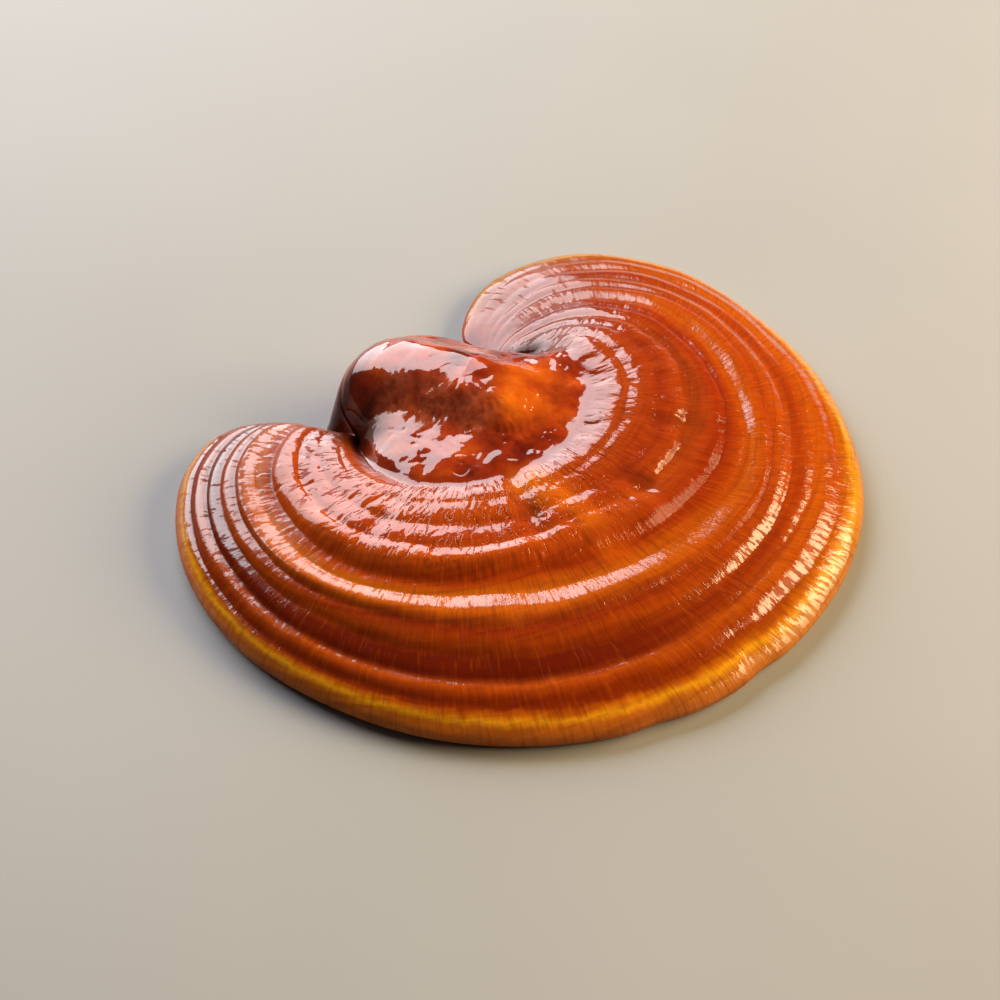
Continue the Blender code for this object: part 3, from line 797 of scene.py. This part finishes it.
class Lacquer(Nodes):
    """Glossy lacquer: mahogany to orange growth rings, radial fibres, dark grooves and a golden margin."""

    def __init__(self):
        super().__init__("reishi_lacquer")
        growth = self.attribute("growth", "Vector")
        self.across, _, self.ring = self.split(growth)
        self.relief, self.stem, self.warm, self.dark, self.rugged, self.steep = (
            self.attribute(name, "Fac") for name in ("relief", "stem", "warm", "dark", "rugged", "steep"))
        self.patterns = {}
        for name, (cells, shift, *character) in PATTERNS.items():
            self.patterns[name] = self.noise(self.stretched(growth, (*cells, 0.0), shift), 1.0, *character)
        place = self.places()
        self.lumps = self.noise(place, 160.0, 4.0, 0.55)
        self.patch = self.noise(place, 520.0, 4.0, 0.6)
        self.grain = self.noise(place, 1400.0, 3.0, 0.6)
        self.on_cap = self.minus(1.0, self.stem)
        self.far = self.times(self.zone(0.36, 0.50, 0.12, 1.0), self.on_cap)
        self.slits = self.open_slits(growth)
        self.rim = self.zone(0.965, 0.995)

    def sector(self, start, end, low=0.0, high=1.0):
        """A smooth run from low to high between two places along the front sector."""
        return self.level(self.across, start * ACROSS, end * ACROSS, low, high)

    def zone(self, start, end, low=0.0, high=1.0):
        """A smooth run from low to high between two ring numbers."""
        return self.level(self.ring, start, end, low, high)

    def pattern(self, name, start, end, low=0.0, high=1.0):
        """A smooth run from low to high between two levels of one of the patterns."""
        return self.level(self.patterns[name], start, end, low, high)

    def open_slits(self, growth):
        """Short slits that point outwards, on the inner half of the cap and most of all on the left."""
        cells = self.cell_edges(self.stretched(self.warped(growth, 0.5, 2.0), SLIT_CELLS), 1.0)
        near = self.times(self.zone(0.46, 0.34), self.zone(0.0, 0.05), self.sector(0.62, 0.42, 0.35, 1.0))
        return self.times(self.level(cells, 0.09, 0.03), self.pattern("gaps", 0.49, 0.56), near)

    def rings(self):
        """Colours of the growth rings, which waver a little, with painted shade where the glare lies on
        them, on the left and back lobes.
        """
        moved = self.plus(self.ring, self.times(self.minus(self.patterns["drift"], 0.5), 0.045),
                          self.times(self.minus(self.patterns["streak"], 0.5), 0.03))
        # the front's darker rings are partly painted shade, mixed towards the right lobe's rings
        side = self.sector(0.40, 0.62)
        base = self.mix(side, self.ramp(moved, SHADED_FRONT_RINGS), self.ramp(moved, RIGHT_LOBE_RINGS))
        # darker tone over the cap, stronger on the right lobe as painted shade
        base = self.mix(self.plus(self.times(side, 0.16), 0.14), base, TONE_AND_RIGHT_SHADE)
        # painted shade on the left and back lobes, where the key light's glare lies
        shade_under_glare = self.plus(self.sector(0.20, 0.08, 0.0, 0.35), self.sector(0.80, 0.92, 0.0, 0.50))
        return self.mix(shade_under_glare, base, PAINTED_SHADE_UNDER_GLARE)

    def colours(self):
        """The rings with their lines, fibres, grooves and slits, then the stem and the patches, among them
        painted sheen and painted shade.
        """
        base = self.mix(self.pattern("lines", 0.42, 0.70, 0.0, 0.30), self.rings(), FINE_LINE)
        base = self.mix(self.pattern("fibres", 0.48, 0.68, 0.0, 0.30), base, FIBRE_DARK)
        base = self.mix(self.pattern("fibres", 0.46, 0.30, 0.0, 0.12), base, FIBRE_LIGHT)
        base = self.mix(self.level(self.relief, 0.0, -0.4, 0.0, 0.35), base, GROOVE)
        base = self.mix(self.times(self.slits, 0.7), base, SLIT)
        wood = self.ramp(self.lumps, STEM_STOPS)
        wood = self.mix(self.level(self.patch, 0.48, 0.72, 0.0, 0.35), wood, STEM_DARK)
        base = self.mix(self.stem, base, wood)
        base = self.mix(self.times(self.warm, 0.85), base, self.ramp(self.lumps, WARM_STOPS))
        # painted sheen on the rugged step beside the knob
        base = self.mix(self.times(self.rugged, self.level(self.patch, 0.35, 0.62, 0.8, 0.3)), base, PAINTED_SHEEN)
        # painted shade in the dark patches
        return self.mix(self.dark, base, SHADOWED)

    def heights(self):
        """Height of the fine relief that bends the highlights, in tenths of a millimetre."""
        calm = self.times(self.sector(0.36, 0.54, 0.3, 1.0), self.sector(0.84, 0.72, 0.2, 1.0))
        height = self.plus(self.times(self.patterns["frayed"], self.times(self.far, calm, 1.3)),
                           self.times(self.patterns["fibres"], self.times(self.far, 0.45)),
                           self.times(self.patterns["fine"], self.times(self.far, 0.02)),
                           self.times(self.patterns["lines"], self.times(self.on_cap, 0.08)))
        height = self.minus(height, self.times(self.slits, 0.6))
        lumpy = self.times(self.stem, self.plus(0.05, self.times(self.rugged, 1.8)))
        return self.plus(height, self.times(self.grain, 0.01), self.times(self.patch, lumpy))

    def breaks(self):
        """Where strokes break up the mirror of the coat: comb-like on the right, in dots on the front."""
        comb = self.times(self.sector(0.42, 0.50), self.sector(0.80, 0.66), self.zone(0.60, 0.68))
        dots = self.times(self.sector(0.14, 0.22), self.sector(0.52, 0.44), self.zone(0.62, 0.68))
        aside = self.apart(self.ring, WHOLE_RING)
        ragged = self.times(self.level(aside, 0.010, 0.045, 0.0, 0.17), self.zone(0.64, 0.60))
        least = self.plus(ragged, 0.40, self.times(comb, 0.09), self.times(dots, 0.17))
        return self.times(self.level(self.minus(least, self.patterns["strokes"]), -0.02, 0.02), self.far)

    def dullness(self):
        """Where the coat is thin: rim, slits, breaks, dark and steep places and the right end."""
        worn = self.plus(self.times(self.rim, 0.7), self.times(self.slits, 0.8), clamp=True)
        return self.most(worn, self.dark, self.times(self.breaks(), 0.9), self.times(self.steep, 0.85),
                         self.sector(0.80, 0.90, 0.0, 0.35))

    def complete(self):
        """Links the shader and hands back the material."""
        normal = self.bump(self.heights(), 1.0, 0.0001)
        rough = self.plus(self.pattern("fine", 0.3, 0.7, 0.20, 0.34), self.times(self.rim, 0.25))
        self.shade(Base_Color=self.colours(), Normal=normal, Coat_Normal=normal, Roughness=rough,
                   Coat_Weight=self.minus(1.0, self.dullness()), Coat_Roughness=0.05, Coat_IOR=1.62,
                   Specular_IOR_Level=0.02)
        return self.material


def lacquer():
    """The lacquer of the cap and the stem."""
    return Lacquer().complete()


def pores():
    """The matte pore layer below: pale tan with fine pores and faint browner stains."""
    n = Nodes("reishi_pores")
    place = n.places()
    ring = n.split(n.attribute("growth", "Vector"))[2]
    stain = n.noise(place, 90.0, 5.0, 0.6)
    wall = n.level(n.cell_edges(place, 3600.0), 0.04, 0.22)
    base = n.mix(n.times(wall, 0.45), n.ramp(stain, PORE_STOPS), PORE_HOLE)
    base = n.mix(n.level(ring, 1.14, 1.02, 0.0, 0.8), base, PORE_RIM)
    height = n.plus(n.times(wall, -1.0), n.times(stain, 0.6))
    n.shade(Base_Color=base, Normal=n.bump(height, 0.8, 0.00012),
            Roughness=n.level(stain, 0.3, 0.7, 0.75, 0.92))
    return n.material


def cut_flesh():
    """The flat cut of the stem: corky brown flesh with fibres and darker stains."""
    n = Nodes("reishi_cut")
    place = n.places()
    fibre = n.noise(n.stretched(place, (900.0, 260.0, 600.0)), 1.0, 5.0, 0.65, 0.5)
    cloud = n.noise(place, 70.0, 3.0, 0.5)
    base = n.mix(n.level(cloud, 0.4, 0.7, 0.0, 0.5), n.ramp(fibre, CUT_STOPS), CUT_STAIN)
    n.shade(Base_Color=base, Normal=n.bump(fibre, 0.7, 0.0002),
            Roughness=n.level(cloud, 0.3, 0.7, 0.75, 0.95))
    return n.material


def direction(azimuth, elevation):
    """Unit vector towards a place round the object: azimuth 0 is the side of -Y, 90 the side of +X."""
    a, e = math.radians(azimuth), math.radians(elevation)
    return Vector((math.sin(a) * math.cos(e), -math.cos(a) * math.cos(e), math.sin(e)))


def softbox(name, azimuth, elevation, distance, width, height, radiance, tint):
    """A soft rectangular light that looks at the object. radiance is how bright its face is."""
    light = bpy.data.lights.new(name, "AREA")
    light.shape = "RECTANGLE"
    light.size, light.size_y = width, height
    light.energy = radiance * math.pi * width * height
    light.color = tint
    obj = bpy.data.objects.new(name, light)
    obj.location = direction(azimuth, elevation) * distance
    obj.rotation_euler = direction(azimuth, elevation).to_track_quat("Z", "Y").to_euler()
    obj.visible_camera = False
    bpy.context.scene.collection.objects.link(obj)


def studio():
    """A plain pale floor, a cool softbox behind on the left, a warm one on the right and a dim surround."""
    mesh = bpy.data.meshes.new("floor")
    corners = [(-1, -1), (1, -1), (1, 1), (-1, 1)]
    mesh.from_pydata([(x * FLOOR_SIDE, y * FLOOR_SIDE, 0) for x, y in corners], [], [(0, 1, 2, 3)])
    floor = bpy.data.objects.new("floor", mesh)
    n = Nodes("pale_floor")
    low, high = FLOOR_GREYS
    n.shade(Base_Color=n.ramp(n.noise(n.places(), 6.0, 3.0, 0.5), [(0.3, grey(low)), (0.7, grey(high))]),
            Roughness=0.8)
    mesh.materials.append(n.material)
    bpy.context.scene.collection.objects.link(floor)

    for light in SOFTBOXES:
        softbox(*light)
    world = bpy.data.worlds.new("surround")
    world.use_nodes = True
    background = world.node_tree.nodes["Background"]
    background.inputs["Color"].default_value = SURROUND_TINT
    background.inputs["Strength"].default_value = SURROUND
    bpy.context.scene.world = world
    bpy.context.scene.view_settings.view_transform = "Standard"


def photo_camera(centre):
    """The camera at the photograph's viewing angle."""
    back = direction(CAMERA_AZIMUTH, CAMERA_ELEVATION)
    right = direction(CAMERA_AZIMUTH + 90, 0)
    data = bpy.data.cameras.new("photo_camera")
    data.lens, data.sensor_width, data.clip_start = CAMERA_LENS, 36.0, 0.01
    data.shift_x, data.shift_y = CAMERA_SHIFT
    x, y, z = CAMERA_TARGET
    turn = Matrix((right, back.cross(right), back)).transposed().to_4x4()
    turn.translation = Vector((x - centre[0], y - centre[1], z)) * MM + back * CAMERA_DISTANCE
    obj = bpy.data.objects.new("photo_camera", data)
    obj.matrix_world = turn
    bpy.context.scene.collection.objects.link(obj)
    bpy.context.scene.camera = obj


mesh, centre = fruit_mesh("reishi_fruit_body")
fruit = bpy.data.objects.new("reishi_fruit_body", mesh)
bpy.context.scene.collection.objects.link(fruit)
for make in (lacquer, pores, cut_flesh):
    mesh.materials.append(make())
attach(fruit, "root")
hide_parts("mushroom")
studio()
photo_camera(centre)
